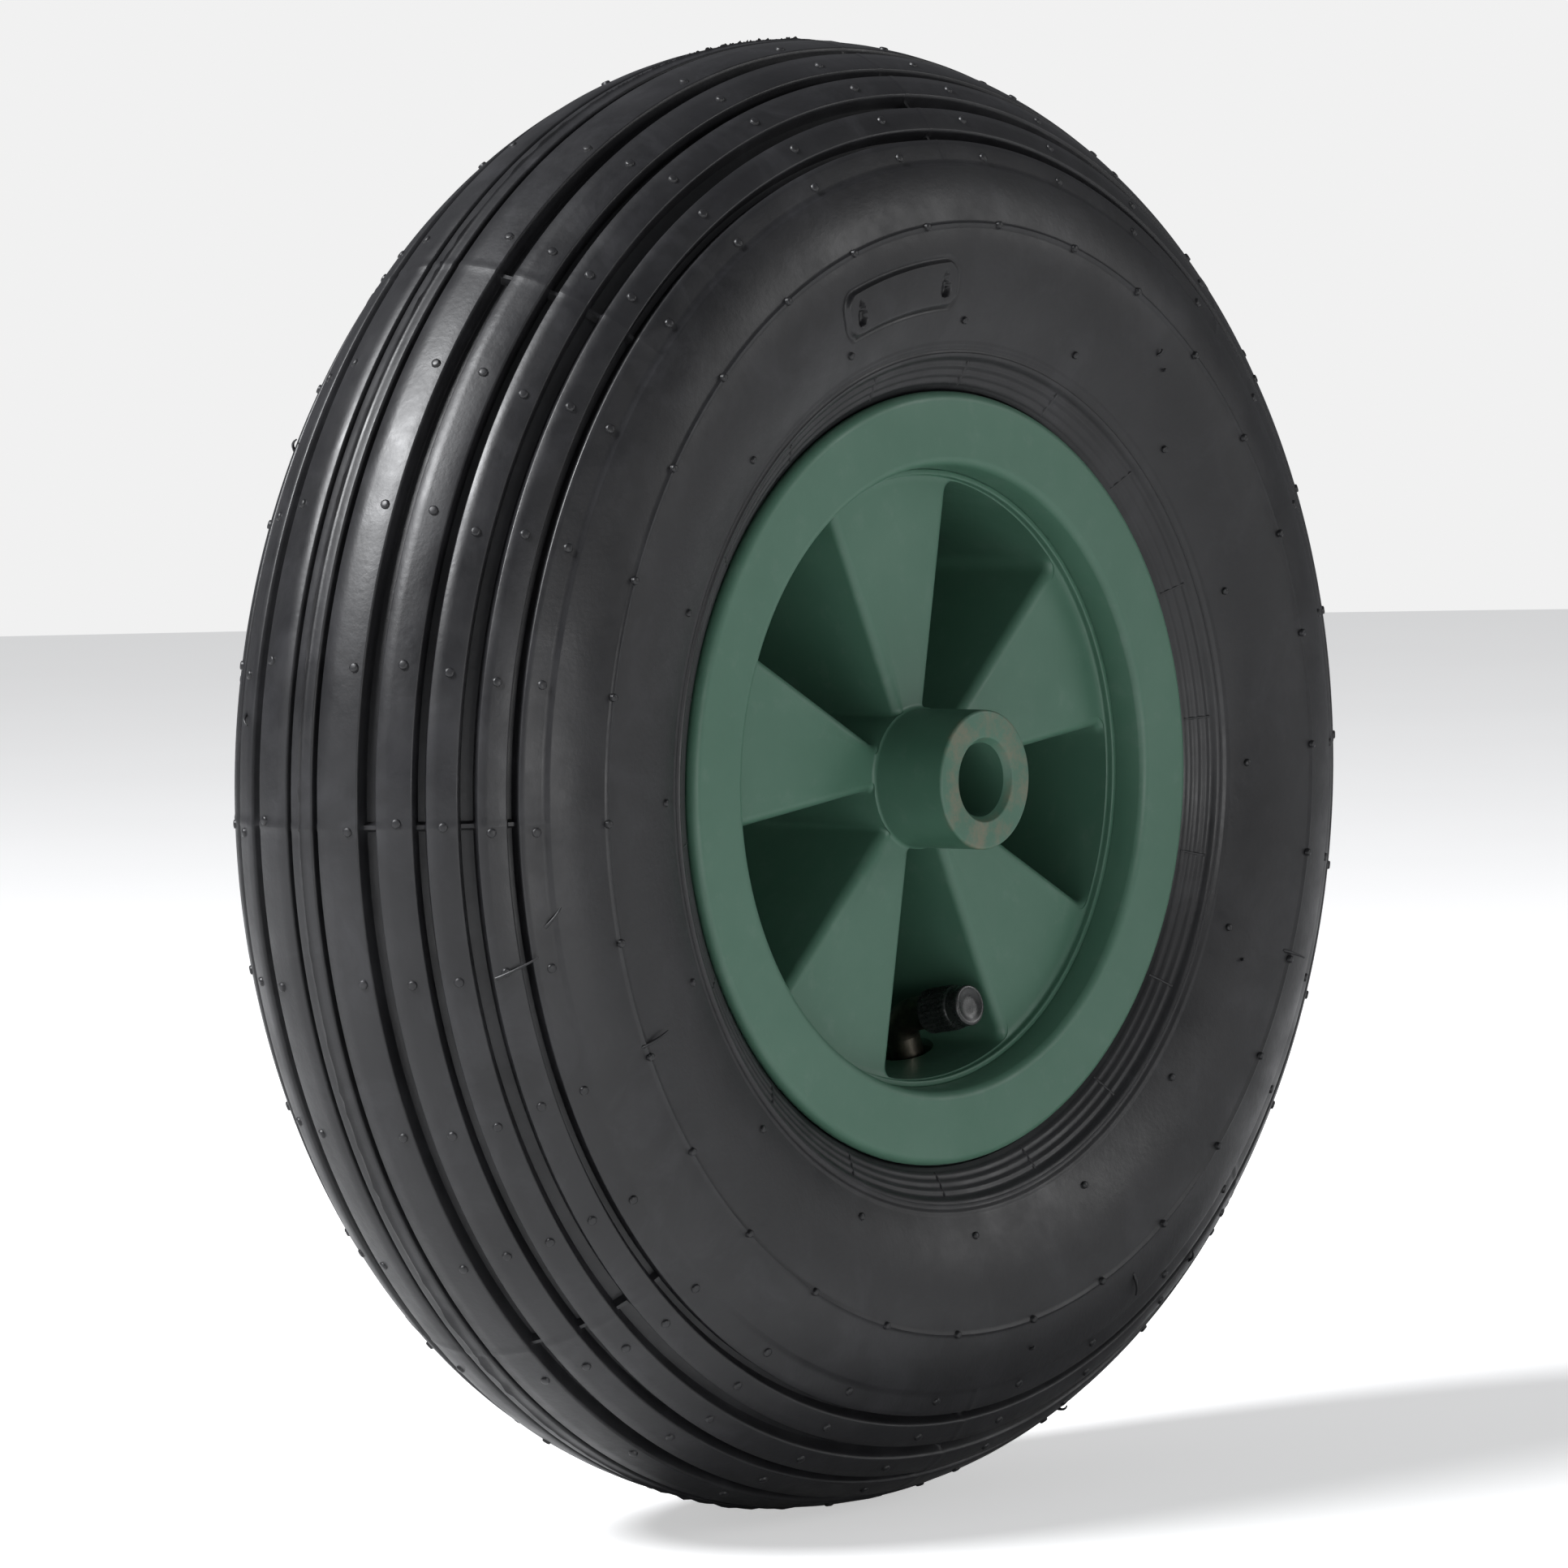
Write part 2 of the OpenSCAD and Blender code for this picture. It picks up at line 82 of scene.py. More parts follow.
# Rim section
FACE_Z = 40.0
FLANGE_T = 5.0
FLANGE_EDGE_R = 2.2
FLANGE_BACK_Z = FACE_Z - FLANGE_T
SEAT_R = 76.0
SEAT_EDGE_R = 1.6
SEAT_CORNER_R = 2.0
WELL_R = 71.0
LIP_R = 71.8
LIP_EDGE_R = 2.4
STEP_R = 68.7
BARREL_R = 67.5
BLADE_Z = 30.7
HUB_R = 15.5
HUB_EDGE_R = 0.7
HUB_FILLET_R = 1.1
BORE_R = 8.25
BORE_MOUTH_R = 9.2
BORE_MOUTH_L = 1.7
BEAD_TOP_R = FLANGE_R + 0.5
BEAD_TOP_Z = FACE_Z - FLANGE_EDGE_R - 0.2
BEAD_TOE_Z = FLANGE_BACK_Z - 11.7

# Blades: five seen from each side, the rear ones half a step round, and round edges at the pockets
BLADES = 5
BLADE_PHASE = 97.4
BLADE_HALF = 180 / BLADES / 2
BLADE_T = 3.8
EDGE_R = 2.3
POCKET_R = BARREL_R - 0.3
POCKET_IN_R = HUB_R + 0.4
POCKET_END_HALF = 1.6

# Levels of a pocket: (height over its floor, inset of its walls, corner at the barrel, corner at the hub)
POCKET_FLOOR = ((0, 1.5, 4.2, 1.6), (0.5, 0.95, 4.0, 1.6), (1.6, 0.6, 3.6, 1.5))
POCKET_MOUTH_CORNERS = (2.6, 1.2)
POCKET_OVER = 1.5

# Valve
VALVE_ANGLE = 288.2
VALVE_FORWARD = 8.4
VALVE_HOLE_D = 11.6
HOLE_SIDES = 40
CAP_R = 5.15
CAP_TIP_R = 4.65
CAP_TIP_L = 3.0
CAP_TIP_EDGE_R = 0.5
CAP_RIBS = 24
CAP_RIB_DEEP = 0.42
CAP_BORE_R = 3.93
CAP_L = 12.0
WASHER_T = 1.0
CAP_TOP_T = 1.2

# How far the sidewall's two quarter ellipses reach from its widest ring, out to the tread and in to the rim
SIDE_UP = (SHOULDER_R - WIDEST_R) / math.sqrt(1 - ((SHOULDER_Z + SIDE_STEP) / TYRE_HALF_W) ** 2)
SIDE_DOWN = (WIDEST_R - BEAD_TOP_R) / math.sqrt(1 - (BEAD_TOP_Z / TYRE_HALF_W) ** 2)


# ---- Mesh helpers ----

def plain_object(name, points, faces):
    """A mesh from points in millimetres, in the frame's axes."""
    mesh = bpy.data.meshes.new(name)
    mesh.from_pydata([(x * MM, y * MM, z * MM) for x, y, z in points], [], faces)
    obj = bpy.data.objects.new(name, mesh)
    bpy.context.scene.collection.objects.link(obj)
    return obj


def new_object(name, points, faces):
    """A mesh from points in the wheel's axes, put into the frame: forward is -Y there."""
    obj = plain_object(name, [(x, -z, y) for x, y, z in points], faces)
    obj.data.validate()
    return obj


def face_outwards(obj):
    """Turns every face of a closed mesh outwards."""
    bpy.context.view_layer.objects.active = obj
    for other in bpy.context.selected_objects:
        other.select_set(False)
    obj.select_set(True)
    bpy.ops.object.mode_set(mode="EDIT")
    bpy.ops.mesh.select_all(action="SELECT")
    bpy.ops.mesh.normals_make_consistent(inside=False)
    bpy.ops.object.mode_set(mode="OBJECT")
    return obj


def smooth(obj, angle):
    """Smooth shading with sharp edges where faces meet at more than the angle."""
    obj.data.shade_smooth()
    obj.data.set_sharp_from_angle(angle=math.radians(angle))


def ring_faces(rows, columns, close_rows=True):
    """Quads over a grid of rows (along the section) by columns (round the ring)."""
    faces = []
    for i in range(rows if close_rows else rows - 1):
        for j in range(columns):
            a = i * columns + j
            b = i * columns + (j + 1) % columns
            c = ((i + 1) % rows) * columns + (j + 1) % columns
            d = ((i + 1) % rows) * columns + j
            faces.append((a, b, c, d))
    return faces


def revolve(name, section, columns=360):
    """A closed section of (radius, z) points turned about the axle."""
    turns = [2 * math.pi * j / columns for j in range(columns)]
    points = [(r * math.cos(t), r * math.sin(t), z) for r, z in section for t in turns]
    return face_outwards(new_object(name, points, ring_faces(len(section), columns)))


def arc(x, y, r, start, end, steps):
    """Points on an arc, angles in degrees."""
    angles = [math.radians(start + (end - start) * i / steps) for i in range(steps + 1)]
    return [(x + r * math.cos(a), y + r * math.sin(a)) for a in angles]


def mirrored(half):
    """The same section walked back on the other side of the middle plane."""
    return [(r, -z) for r, z in reversed(half[1:-1])]


def cut(obj, cutter):
    """Takes the cutter out of the object."""
    modifier = obj.modifiers.new("cut", "BOOLEAN")
    modifier.operation = "DIFFERENCE"
    modifier.solver = "EXACT"
    modifier.object = cutter
    bpy.context.view_layer.update()
    finished = obj.evaluated_get(bpy.context.evaluated_depsgraph_get())
    result = bpy.data.meshes.new_from_object(finished)
    obj.modifiers.clear()
    obj.data = result
    bpy.data.objects.remove(cutter)


def prism(name, outlines):
    """A closed solid from outlines of (x, y, z) points, one above the other, all of the same length."""
    count = len(outlines[0])
    points = [p for outline in outlines for p in outline]
    faces = ring_faces(len(outlines), count, close_rows=False)
    faces.append(tuple(range(count)))
    faces.append(tuple(range((len(outlines) - 1) * count, len(outlines) * count)))
    return face_outwards(new_object(name, points, faces))


# ---- Rim ----

def rim_section():
    """Half of the rim's section, from the middle of the well round the flange to the middle of the bore."""
    return [
        (WELL_R, 0), (WELL_R, BEAD_TOE_Z - 5.5),
        *arc(SEAT_R - 1.2, BEAD_TOE_Z - SEAT_EDGE_R, SEAT_EDGE_R, -60, 20, 6),
        (SEAT_R - 0.3, BEAD_TOE_Z),
        *arc(SEAT_R + SEAT_CORNER_R, FLANGE_BACK_Z - SEAT_CORNER_R, SEAT_CORNER_R, 180, 90, 6),
        *arc(FLANGE_R - FLANGE_EDGE_R, FACE_Z - FLANGE_EDGE_R, FLANGE_EDGE_R, -50, 90, 16),
        (78, FACE_Z), (74.6, FACE_Z),
        *arc(LIP_R, FACE_Z - LIP_EDGE_R, LIP_EDGE_R, 90, 158, 12),
        (STEP_R + 0.15, BLADE_Z + 2.6),
        *arc(STEP_R - 0.25, BLADE_Z + 1.55, 0.4, 0, 80, 4),
        *arc(BARREL_R + 0.35, BLADE_Z + 1.6, 0.35, 90, 180, 4),
        (BARREL_R, BLADE_Z + 0.75),
        *arc(BARREL_R - 0.6, BLADE_Z + 0.75, 0.6, 0, -60, 4),
        (BARREL_R - 1.8, BLADE_Z + 0.08), (BARREL_R - 3.4, BLADE_Z),
        (HUB_R + HUB_FILLET_R, BLADE_Z),
        *arc(HUB_R + HUB_FILLET_R, BLADE_Z + HUB_FILLET_R, HUB_FILLET_R, 270, 180, 5),
        *arc(HUB_R - HUB_EDGE_R, HUB_Z - HUB_EDGE_R, HUB_EDGE_R, 0, 90, 6),
        *arc(BORE_MOUTH_R + 0.5, HUB_Z - 0.5, 0.5, 90, 160, 4),
        (BORE_R, HUB_Z - BORE_MOUTH_L), (BORE_R, 0)]


def corner(before, point, after, radius, steps):
    """A rounded corner at a point between two neighbours."""
    point = Vector(point)
    first = (Vector(before) - point).normalized()
    second = (Vector(after) - point).normalized()
    half = first.angle(second) / 2
    reach = radius / math.tan(half)
    centre = point + (first + second).normalized() * radius / math.sin(half)
    start = point + first * reach - centre
    turn = start.angle_signed(point + second * reach - centre)
    return [centre + Matrix.Rotation(-turn * i / steps, 2) @ start for i in range(steps + 1)]


def polar(radius, turn):
    """A point in the wheel's plane, the angle in radians."""
    return Vector((radius * math.cos(turn), radius * math.sin(turn)))


def pocket_outline(inset, outer_corner, inner_corner):
    """Plan of a pocket about +X: two straight sides moved in by inset, between two arcs."""
    slope = math.radians(BLADE_HALF)
    inner_r = max(POCKET_IN_R, (inset + POCKET_END_HALF) / math.sin(slope))
    outer_turn = slope - math.asin(inset / POCKET_R)
    inner_turn = slope - math.asin(inset / inner_r)
    outer = polar(POCKET_R, outer_turn)
    inner = polar(inner_r, inner_turn)
    upper = corner(inner, outer, polar(POCKET_R, outer_turn - 0.12), outer_corner, 6)
    lower = corner(outer, inner, polar(inner_r, inner_turn - 0.3), inner_corner, 4)
    outer_end = math.atan2(upper[-1].y, upper[-1].x)
    inner_end = math.atan2(lower[-1].y, lower[-1].x)
    side = lower[::-1] + upper
    at_barrel = [polar(POCKET_R, t) for t in np.linspace(outer_end, -outer_end, 26)[1:-1]]
    other_side = [Vector((p.x, -p.y)) for p in reversed(side)]
    at_hub = [polar(inner_r, t) for t in np.linspace(-inner_end, inner_end, 7)[1:-1]]
    return side + at_barrel + other_side + at_hub


def pocket(turn, front, wall_inset):
    """The space between two blades, with round edges where it opens and a small fillet at its floor."""
    floor = BLADE_T - BLADE_Z
    levels = [(floor + up, *rest) for up, *rest in POCKET_FLOOR]
    levels.append((BLADE_Z - EDGE_R, 0, *POCKET_MOUTH_CORNERS))
    for i in range(1, 9):
        bend = math.radians(90 * i / 8)
        z = BLADE_Z - EDGE_R * (1 - math.sin(bend))
        levels.append((z, -EDGE_R * (1 - math.cos(bend)), *POCKET_MOUTH_CORNERS))
    levels.append((BLADE_Z + POCKET_OVER, -EDGE_R - 0.02, *POCKET_MOUTH_CORNERS))
    spin = Matrix.Rotation(math.radians(turn), 2)
    outlines = []
    for z, inset, outer_corner, inner_corner in levels:
        plan = [spin @ p for p in pocket_outline(inset + wall_inset, outer_corner, inner_corner)]
        outlines.append([(p.x, p.y, z if front else -z) for p in plan])
    return prism("pocket", outlines)


def valve_hole():
    """A bore from inside the barrel to the well, where the stem comes through, with a wider mouth."""
    turn = math.radians(VALVE_ANGLE)
    mouth = ((BARREL_R - 3, 0.7), (BARREL_R + 0.05, 0.35), (BARREL_R + 0.6, 0), (WELL_R + 3, 0))
    outlines = []
    for radius, grow in mouth:
        hole_r = VALVE_HOLE_D / 2 + grow
        ring = []
        for i in range(HOLE_SIDES):
            a = 2 * math.pi * i / HOLE_SIDES
            across = hole_r * math.cos(a)
            ring.append((radius * math.cos(turn) - across * math.sin(turn),
                         radius * math.sin(turn) + across * math.cos(turn),
                         VALVE_FORWARD + hole_r * math.sin(a)))
        outlines.append(ring)
    return prism("hole", outlines)


def make_rim():
    """Rim, blades and hub in one moulding."""
    half = rim_section()
    rim = revolve("rim_body", half + mirrored(half))
    for k in range(BLADES):
        cut(rim, pocket(BLADE_PHASE + (2 * k + 1) * 2 * BLADE_HALF, True, 0))
        cut(rim, pocket(BLADE_PHASE + 2 * k * 2 * BLADE_HALF, False, BLADE_T))
    cut(rim, valve_hole())
    smooth(rim, 32)
    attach(rim, "wheel")
    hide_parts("rim")
    return rim


# ---- Tyre ----

def tread_point(angle, height):
    """A point of the tread's section, the angle measured from its middle and the height off its arc."""
    a = math.radians(angle)
    return (TREAD_C + (TREAD_R + height) * math.cos(a), (TREAD_R + height) * math.sin(a))


def side_z(r):
    """Height of the sidewall at radius r, with its raised rings."""
    reach = SIDE_UP if r > WIDEST_R else SIDE_DOWN
    z = TYRE_HALF_W * math.sqrt(max(0.0, 1 - ((r - WIDEST_R) / reach) ** 2))
    lift = 0.0
    for middle, high, wide in SIDE_RIDGES:
        lift += high * math.exp(-((r - middle) / wide) ** 4)
    return min(z + lift, TYRE_HALF_W + RIDGE_MAX)


def tread_section():
    """Tread from the middle to the shoulder, each groove with rounded edges and a flat floor."""
    section = [tread_point(0, 0.2), tread_point(0.25, 0.15), tread_point(RIB_EDGE, 0)]
    last = RIB_EDGE
    wall = ((0.3, -0.03), (0.05, -0.25), (-0.12, -0.9),
            (-0.4, 0.35 - GROOVE_DEPTH), (-0.7, -GROOVE_DEPTH))
    for middle, width in GROOVES:
        start = middle - width / 2
        end = middle + width / 2
        for i in range(1, 4):
            section.append(tread_point(last + (start - RIB_EDGE - last) * i / 3, 0))
        for out, height in wall:
            section.append(tread_point(start - out, height))
        for out, height in reversed(wall):
            section.append(tread_point(end + out, height))
        last = end + RIB_EDGE
    for i in range(1, 6):
        section.append(tread_point(last + (TREAD_HALF_ANGLE - last) * i / 5, 0))
    return section


def side_section():
    """Sidewall from the shoulder in to the flange, sampled finely enough for its rings."""
    radii = np.arange(SHOULDER_R - 0.3, BEAD_TOP_R + 0.6, -SIDE_SAMPLE)
    return [(float(r), side_z(float(r))) for r in radii]


def inner_section():
    """Bead and the inside of the casing, up to the crown."""
    half_w = TYRE_HALF_W - SIDEWALL_T
    up = TYRE_R - TREAD_T - WIDEST_R
    down = SIDE_DOWN - 4
    foot = math.degrees(math.acos((SEAT_R + 15 - WIDEST_R) / down))
    section = [(BEAD_TOP_R, BEAD_TOP_Z), (BEAD_TOP_R, FLANGE_BACK_Z + 1.6),
               (FLANGE_R - 1.2, FLANGE_BACK_Z + 0.3)]
    section += arc(SEAT_R + 2.1, FLANGE_BACK_Z - 2.1, BEAD_CORNER_R, 90, 180, 4)
    section += [(SEAT_R - 0.2, BEAD_TOE_Z), (SEAT_R + 0.8, BEAD_TOE_Z - 0.6)]
    for a in np.linspace(foot, 90, 9):
        t = math.radians(float(a))
        section.append((WIDEST_R + down * math.cos(t), half_w * math.sin(t)))
    for a in np.linspace(80, 0, 9):
        t = math.radians(float(a))
        section.append((WIDEST_R + up * math.cos(t), half_w * math.sin(t)))
    return section


# Joints of the mould: fins across the ribs, tall in the grooves
MOULD_JOINTS = 8
JOINT_PHASE = 0.8
JOINT_HALF = 0.16
FIN_ON_RIB = 0.12
FIN_IN_GROOVE = 1.7

# Rough line round the middle, where the halves of the mould meet
MIDDLE_HALF_W = 0.15
MIDDLE_LOW = 0.1
MIDDLE_RAGGED = 0.55

# Blank plate moulded on each sidewall, with a drop-shaped hollow near each end
PLATE_TURN = 102.3
PLATE_HALF_TURN = 9.9
PLATE_R = 109.9
PLATE_HALF_R = 4.9
PLATE_CORNER = 3.4
PLATE_FROM_R = 104
PLATE_TO_R = 116
PLATE_HIGH = 0.8
PLATE_ROOM = 1.5
PLATE_SAMPLE = 0.16
DROP_TURN = 7.7
DROP_LONG = 3.2
DROP_WIDE = 2.5
DROP_DEEP = 1.7
PLATE_HALF_L = PLATE_HALF_TURN * math.pi / 180 * PLATE_R
DROP_OUT = DROP_TURN * math.pi / 180 * PLATE_R


def tyre_columns():
    """Directions round the tyre: an even set, with close ones at each joint of the mould."""
    turns = {round(i * 0.9, 3) for i in range(400)}
    for k in range(MOULD_JOINTS):
        middle = JOINT_PHASE + 360 * k / MOULD_JOINTS
        for step in (-2.4, -1, 1, 2.4):
            turns.add(round((middle + step * JOINT_HALF) % 360, 3))
    fine = int(2 * (PLATE_HALF_TURN + PLATE_ROOM) / PLATE_SAMPLE)
    for k in range(fine + 1):
        turns.add(round(PLATE_TURN - PLATE_HALF_TURN - PLATE_ROOM + PLATE_SAMPLE * k, 3))
    return sorted(turns)


def soft_step(value, start, end):
    """0 before the start, 1 after the end and a smooth curve between."""
    s = min(1.0, max(0.0, (value - start) / (end - start)))
    return s * s * (3 - 2 * s)


def plate_lift(r, turn):
    """Height of the moulded plate over the sidewall, in mm, with its two hollows."""
    along = abs((turn - PLATE_TURN + 180) % 360 - 180) * math.pi / 180 * PLATE_R
    if along > PLATE_HALF_L + 3.8:
        return 0.0
    out_x = along - (PLATE_HALF_L - PLATE_CORNER)
    out_y = abs(r - PLATE_R) - (PLATE_HALF_R - PLATE_CORNER)
    edge = math.hypot(max(out_x, 0), max(out_y, 0)) + min(max(out_x, out_y), 0) - PLATE_CORNER
    groove = 0.35 * math.exp(-((edge - 0.7) / 0.5) ** 2)
    lift = PLATE_HIGH * (1 - soft_step(edge, -0.35, 0.3)) - groove
    up = (r - PLATE_R) / DROP_LONG
    across = (along - DROP_OUT) / (DROP_WIDE * (0.62 - 0.38 * up))
    return lift - DROP_DEEP * (1 - soft_step(math.hypot(across, up), 0.72, 1.0))


def at_joint(turn):
    """Whether the direction is on the fin left by a joint of the mould."""
    step = 360 / MOULD_JOINTS
    off = (turn - JOINT_PHASE + step / 2) % step - step / 2
    return abs(off) < JOINT_HALF * 1.5


def make_tyre():
    """Tread, sidewalls, beads and casing, with the marks that its mould leaves."""
    rng = random.Random(7)
    tread = tread_section()
    half = tread + side_section() + inner_section()
    section = half + mirrored(half)
    columns = tyre_columns()
    count = len(section)
    ragged = [rng.uniform(0.0, 1.0) for _ in columns]
    points = []
    for i, (r, z) in enumerate(section):
        on_tread = i < len(tread) or i > count - len(tread)
        down = math.hypot(r - TREAD_C, z) - TREAD_R if on_tread else 0
        middle = on_tread and abs(z) < MIDDLE_HALF_W
        on_side = not on_tread and PLATE_FROM_R < r < PLATE_TO_R and abs(z) > TYRE_HALF_W - SIDEWALL_T / 2
        for j, turn in enumerate(columns):
            lift = 0.0
            if middle:
                lift += MIDDLE_LOW + MIDDLE_RAGGED * ragged[j] ** 2
            if on_tread and at_joint(turn):
                lift += FIN_ON_RIB if down > -1 else FIN_IN_GROOVE
            if on_side:
                lift += plate_lift(r, turn)
            a = math.atan2(z, r - TREAD_C) if on_tread else math.copysign(math.pi / 2, z)
            rr = r + lift * math.cos(a)
            zz = z + lift * math.sin(a)
            t = math.radians(turn)
            points.append((rr * math.cos(t), rr * math.sin(t), zz))
    tyre = face_outwards(new_object("tyre_body", points, ring_faces(count, len(columns))))
    smooth(tyre, 50)
    return tyre


def closed_rod(rows, sides):
    """Faces of a rod of rings, with a face over each end."""
    faces = ring_faces(rows, sides, close_rows=False)
    faces.append(tuple(range(sides - 1, -1, -1)))
    faces.append(tuple(range((rows - 1) * sides, rows * sides)))
    return faces


def pip(centre, normal, radius, height):
    """A small round-topped stub left by a vent of the mould, as points and faces."""
    normal = Vector(normal).normalized()
    across = normal.orthogonal().normalized()
    other = normal.cross(across)
    sides = 10
    points = []
    levels = ((1.15, -0.3), (1.0, 0.25), (0.95, 0.75), (0.6, 1.0))
    for part, up in levels:
        for i in range(sides):
            a = 2 * math.pi * i / sides
            offset = (across * math.cos(a) + other * math.sin(a)) * radius * part + normal * up * height
            points.append(tuple(Vector(centre) + offset))
    return points, closed_rod(len(levels), sides)


def whisker(base, normal, sideways, length):
    """A thin bent hair of rubber pulled out of a vent of the mould."""
    rows = 9
    sides = 6
    root_r = 0.42
    normal = Vector(normal).normalized()
    sideways = Vector(sideways).normalized()
    points = []
    for i in range(rows):
        s = i / (rows - 1)
        spot = Vector(base) + normal * (2.4 * s * (1.3 - s) - 0.2) + sideways * length * s
        lean = (normal * (3.1 - 4.8 * s) / length + sideways).normalized()
        across = lean.cross(normal.cross(sideways)).normalized()
        other = lean.cross(across)
        thick = root_r * (1 - 0.55 * s)
        for k in range(sides):
            a = 2 * math.pi * k / sides
            points.append(tuple(spot + (across * math.cos(a) + other * math.sin(a)) * thick))
    return points, closed_rod(rows, sides)


def tube(path, normals, radius):
    """A thin raised bead along a path lying on a surface."""
    sides = 6
    points = []
    last = len(path) - 1
    for i, spot in enumerate(path):
        along = (path[min(i + 1, last)] - path[max(i - 1, 0)]).normalized()
        up = normals[i].normalized()
        side = along.cross(up).normalized()
        for k in range(sides):
            a = 2 * math.pi * k / sides
            points.append(tuple(spot + (side * math.cos(a) + up * math.sin(a)) * radius))
    return points, closed_rod(len(path), sides)


def side_spot(r, turn, side):
    """A place on the sidewall and the outward direction there."""
    step = 0.3
    steepest = 1.5
    slope = (side_z(r + step) - side_z(r - step)) / (2 * step)
    slope = max(-steepest, min(steepest, slope))
    t = math.radians(turn)
    out = Vector((-slope * math.cos(t), -slope * math.sin(t), side)).normalized()
    return Vector((r * math.cos(t), r * math.sin(t), side * side_z(r))), out


def tread_spot(angle, turn):
    """A place on the tread and the outward direction there."""
    r, z = tread_point(angle, 0)
    t = math.radians(turn)
    a = math.radians(angle)
    out = Vector((math.cos(a) * math.cos(t), math.cos(a) * math.sin(t), math.sin(a)))
    return Vector((r * math.cos(t), r * math.sin(t), z)), out


def merged_parts(name, parts):
    """One object from several lists of points and faces."""
    points = []
    faces = []
    for part_points, part_faces in parts:
        base = len(points)
        points += part_points
        faces += [tuple(base + i for i in face) for face in part_faces]
    return face_outwards(new_object(name, points, faces))


PIP_ANGLES = (15.0, 28.5, 40.6, 53.0, 65.0)
PIP_ROWS = 30
PIP_RINGS = ((122.8, 1.0, 30), (101.5, -0.5, 16))  # radius, first turn, how many
TICKS = 18
TICK_START_R = 87.6
TICK_L = 5.2
TICK_PHASE = 6


def make_pips():
    """Vent stubs in rows across the ribs and in two rings on each sidewall."""
    rng = random.Random(5)
    parts = []
    for side in (1, -1):
        for angle in PIP_ANGLES:
            for k in range(PIP_ROWS):
                turn = 1 + 360 / PIP_ROWS * k + rng.uniform(-0.6, 0.6)
                parts.append(pip(*tread_spot(side * angle, turn), 1.0, 0.5))
        for r, phase, number in PIP_RINGS:
            for k in range(number):
                turn = phase + 360 * k / number + rng.uniform(-0.5, 0.5)
                parts.append(pip(*side_spot(r, turn, side), 0.85, 0.65))
    return merged_parts("tyre_vent_pips", parts)


def make_whiskers():
    """Longer hairs of rubber lying on the surface: five listed, the rest by a seeded draw."""
    rng = random.Random(21)
    parts = []
    on_tread = [(50.0, 193.3, 10.0), (55.0, 306.5, 5.0)]
    on_side = [(123.7, 204.0, -7.5, 1), (127.5, 295.0, 6.0, 1), (120.0, 337.6, 7.0, 1)]
    for _ in range(7):
        angle = rng.choice((-53.0, -40.6, -28.5, 28.5, 65.0))
        on_tread.append((angle, rng.uniform(0, 360), rng.uniform(3.0, 6.0)))
    for _ in range(9):
        r = rng.uniform(104, 130)
        on_side.append((r, rng.uniform(0, 360), rng.uniform(-5, 5), rng.choice((-1, 1))))
    for angle, turn, length in on_tread:
        spot, out = tread_spot(angle, turn)
        across = tread_spot(angle + 3, turn + rng.uniform(-1, 1))[0] - spot
        parts.append(whisker(spot, out, across, length))
    for r, turn, length, side in on_side:
        spot, out = side_spot(r, turn, side)
        across = side_spot(r + math.copysign(3, length), turn + rng.uniform(-1, 1), side)[0] - spot
        parts.append(whisker(spot, out, across, abs(length)))
    return merged_parts("tyre_whiskers", parts)


def make_marks():
    """Short raised ticks across the fitting rings near each bead."""
    steps = 6
    parts = []
    for side in (1, -1):
        for k in range(TICKS):
            turn = TICK_PHASE + 360 // TICKS * k
            line = [side_spot(TICK_START_R + TICK_L * s / steps, turn, side) for s in range(steps + 1)]
            parts.append(tube([p for p, _ in line], [n for _, n in line], 0.3))
    return merged_parts("tyre_mould_lines", parts)


# ---- Valve cap ----

joints = {joint["name"]: joint for joint in frame["joints"]}
cap_axis = Vector(joints["cap_turn"]["axis"]).normalized()
cap_tip = Vector(joints["cap_turn"]["pos_m"])


